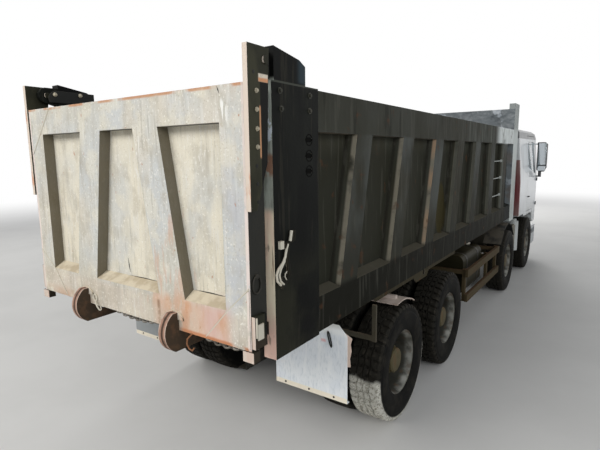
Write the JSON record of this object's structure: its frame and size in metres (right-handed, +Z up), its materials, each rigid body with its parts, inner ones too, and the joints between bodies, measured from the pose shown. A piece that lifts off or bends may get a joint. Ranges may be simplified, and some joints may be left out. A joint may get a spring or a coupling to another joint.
{
  "type": "heavy tipper lorry",
  "caption": "Heavy tipper lorry with a ribbed steel bed, a top-hung tailgate with rusty hooks, a tilting cab and a telescopic front hoist.",
  "frame": {"origin": "on the ground, under the middle of the whole outline", "axes": "+Z up, -Y the direction of travel, +X the lorry's left side"},
  "size_m": [2.86, 10.061, 3.25],
  "materials": {
    "chassis_paint": "dusty dark paint",
    "axle_iron": "dirty cast iron",
    "engine_iron": "oily cast iron",
    "tank_paint": "dusty olive paint",
    "box_paint": "dusty beige paint",
    "guard_paint": "worn beige paint with rust",
    "mudguard_plastic": "broken pale plastic",
    "flap_aluminium": "scuffed bare aluminium",
    "bumper_paint": "dusty white paint",
    "lamp_lens": "clear lens",
    "cab_paint": "dusty white paint",
    "cab_glass": "dusty window glass",
    "grille_plastic": "black moulded plastic",
    "interior_plastic": "grey trim and seat cloth",
    "bed_paint": "dark olive grey paint with dried drips",
    "bed_steel": "bare scoured steel",
    "black_paint": "black paint, rusty at its edges",
    "gate_paint": "pale dust over worn grey paint",
    "hook_rust": "rusted steel plate",
    "hoist_paint": "dark paint",
    "hoist_chrome": "ground and plated steel",
    "tyre_rubber": "dusty rubber",
    "rim_paint": "dusty steel wheel"
  },
  "bodies": {
    "root": {"chassis_frame": "chassis_paint", "front_axles": "axle_iron", "rear_axles": "axle_iron", "driveline": "axle_iron", "engine": "engine_iron", "fuel_tank": "tank_paint", "exhaust_box": "box_paint", "battery_box": "box_paint", "air_tanks": "chassis_paint", "air_filter": "tank_paint", "front_mudguards": "grille_plastic", "side_guards": "guard_paint", "rear_mudguards": "mudguard_plastic", "rear_flap_plates": "flap_aluminium", "front_bumper": "bumper_paint", "headlamps": "lamp_lens"},
    "cab": {"cab_shell": "cab_paint", "cab_windscreen": "cab_glass", "cab_grille": "grille_plastic", "cab_interior": "interior_plastic"},
    "left_door": {"door_left": "cab_paint", "door_glass_left": "cab_glass"},
    "right_door": {"door_right": "cab_paint", "door_glass_right": "cab_glass"},
    "bed": {"bed_floor": "bed_steel", "bed_side_left": "bed_paint", "bed_side_right": "bed_paint", "bed_headboard": "bed_steel", "bed_pillars": "black_paint"},
    "tailgate": {"tailgate_panel": "gate_paint", "tailgate_arms": "black_paint", "tailgate_hooks": "hook_rust"},
    "barrel": {"hoist_barrel": "hoist_paint"},
    "stage_1": {"hoist_stage_1": "hoist_chrome"},
    "stage_2": {"hoist_stage_2": "hoist_chrome"},
    "stage_3": {"hoist_stage_3": "hoist_chrome"},
    "stage_4": {"hoist_stage_4": "hoist_chrome"},
    "steer_1_left": {"knuckle_1_left": "axle_iron"},
    "steer_1_right": {"knuckle_1_right": "axle_iron"},
    "steer_2_left": {"knuckle_2_left": "axle_iron"},
    "steer_2_right": {"knuckle_2_right": "axle_iron"},
    "wheel_1_left": {"tyres_axle_1_left": "tyre_rubber", "rims_axle_1_left": "rim_paint"},
    "wheel_1_right": {"tyres_axle_1_right": "tyre_rubber", "rims_axle_1_right": "rim_paint"},
    "wheel_2_left": {"tyres_axle_2_left": "tyre_rubber", "rims_axle_2_left": "rim_paint"},
    "wheel_2_right": {"tyres_axle_2_right": "tyre_rubber", "rims_axle_2_right": "rim_paint"},
    "wheel_3_left": {"tyres_axle_3_left": "tyre_rubber", "rims_axle_3_left": "rim_paint"},
    "wheel_3_right": {"tyres_axle_3_right": "tyre_rubber", "rims_axle_3_right": "rim_paint"},
    "wheel_4_left": {"tyres_axle_4_left": "tyre_rubber", "rims_axle_4_left": "rim_paint"},
    "wheel_4_right": {"tyres_axle_4_right": "tyre_rubber", "rims_axle_4_right": "rim_paint"}
  },
  "joints": [
    {"name": "bed_tip", "type": "hinge", "parent": "root", "child": "bed", "pos_m": [0, 4.12, 1.08], "axis": [-1, 0, 0], "range_deg": [0, 50]},
    {"name": "tailgate_swing", "type": "hinge", "parent": "bed", "child": "tailgate", "pos_m": [0, 4.79, 2.895], "axis": [1, 0, 0], "range_deg": [0, 80]},
    {"name": "cab_tilt", "type": "hinge", "parent": "root", "child": "cab", "pos_m": [0, -4.77, 0.83], "axis": [1, 0, 0], "range_deg": [0, 50]},
    {"name": "hoist_tilt", "type": "hinge", "parent": "bed", "child": "barrel", "pos_m": [0, -2.35, 1.3], "axis": [1, 0, 0], "range_deg": [0, 25]},
    {"name": "hoist_slide_1", "type": "slide", "parent": "barrel", "child": "stage_1", "axis": [0, 0, -1], "range_m": [0, 1.369]},
    {"name": "hoist_slide_2", "type": "slide", "parent": "stage_1", "child": "stage_2", "axis": [0, 0, -1], "range_m": [0, 1.369]},
    {"name": "hoist_slide_3", "type": "slide", "parent": "stage_2", "child": "stage_3", "axis": [0, 0, -1], "range_m": [0, 1.369]},
    {"name": "hoist_slide_4", "type": "slide", "parent": "stage_3", "child": "stage_4", "axis": [0, 0, -1], "range_m": [0, 1.369]},
    {"name": "left_door_swing", "type": "hinge", "parent": "cab", "child": "left_door", "pos_m": [1.236, -4.585, 1.5], "axis": [0, 0, -1], "range_deg": [0, 70]},
    {"name": "right_door_swing", "type": "hinge", "parent": "cab", "child": "right_door", "pos_m": [-1.236, -4.585, 1.5], "axis": [0, 0, 1], "range_deg": [0, 70]},
    {"name": "steer_1_left", "type": "hinge", "parent": "root", "child": "steer_1_left", "pos_m": [0.88, -3.71, 0.53], "axis": [0, 0, 1], "range_deg": [-35, 35]},
    {"name": "steer_1_right", "type": "hinge", "parent": "root", "child": "steer_1_right", "pos_m": [-0.88, -3.71, 0.53], "axis": [0, 0, 1], "range_deg": [-35, 35]},
    {"name": "steer_2_left", "type": "hinge", "parent": "root", "child": "steer_2_left", "pos_m": [0.88, -1.76, 0.53], "axis": [0, 0, 1], "range_deg": [-21, 21]},
    {"name": "steer_2_right", "type": "hinge", "parent": "root", "child": "steer_2_right", "pos_m": [-0.88, -1.76, 0.53], "axis": [0, 0, 1], "range_deg": [-21, 21]},
    {"name": "wheel_1_left_roll", "type": "hinge", "parent": "steer_1_left", "child": "wheel_1_left", "pos_m": [1.1, -3.71, 0.53], "axis": [1, 0, 0], "continuous": true},
    {"name": "wheel_1_right_roll", "type": "hinge", "parent": "steer_1_right", "child": "wheel_1_right", "pos_m": [-1.1, -3.71, 0.53], "axis": [1, 0, 0], "continuous": true},
    {"name": "wheel_2_left_roll", "type": "hinge", "parent": "steer_2_left", "child": "wheel_2_left", "pos_m": [1.1, -1.76, 0.53], "axis": [1, 0, 0], "continuous": true},
    {"name": "wheel_2_right_roll", "type": "hinge", "parent": "steer_2_right", "child": "wheel_2_right", "pos_m": [-1.1, -1.76, 0.53], "axis": [1, 0, 0], "continuous": true},
    {"name": "wheel_3_left_roll", "type": "hinge", "parent": "root", "child": "wheel_3_left", "pos_m": [1.1, 1.64, 0.53], "axis": [1, 0, 0], "continuous": true},
    {"name": "wheel_3_right_roll", "type": "hinge", "parent": "root", "child": "wheel_3_right", "pos_m": [-1.1, 1.64, 0.53], "axis": [1, 0, 0], "continuous": true},
    {"name": "wheel_4_left_roll", "type": "hinge", "parent": "root", "child": "wheel_4_left", "pos_m": [1.1, 2.99, 0.53], "axis": [1, 0, 0], "continuous": true},
    {"name": "wheel_4_right_roll", "type": "hinge", "parent": "root", "child": "wheel_4_right", "pos_m": [-1.1, 2.99, 0.53], "axis": [1, 0, 0], "continuous": true}
  ],
  "couplings": [
    {"joint": "hoist_tilt", "follows": "bed_tip", "ratio": 0.4925},
    {"joint": "hoist_slide_1", "follows": "bed_tip", "m_per_rad": 1.5573},
    {"joint": "hoist_slide_2", "follows": "bed_tip", "m_per_rad": 1.5573},
    {"joint": "hoist_slide_3", "follows": "bed_tip", "m_per_rad": 1.5573},
    {"joint": "hoist_slide_4", "follows": "bed_tip", "m_per_rad": 1.5573},
    {"joint": "steer_1_right", "follows": "steer_1_left", "ratio": 1},
    {"joint": "steer_2_left", "follows": "steer_1_left", "ratio": 0.6},
    {"joint": "steer_2_right", "follows": "steer_1_left", "ratio": 0.6}
  ]
}
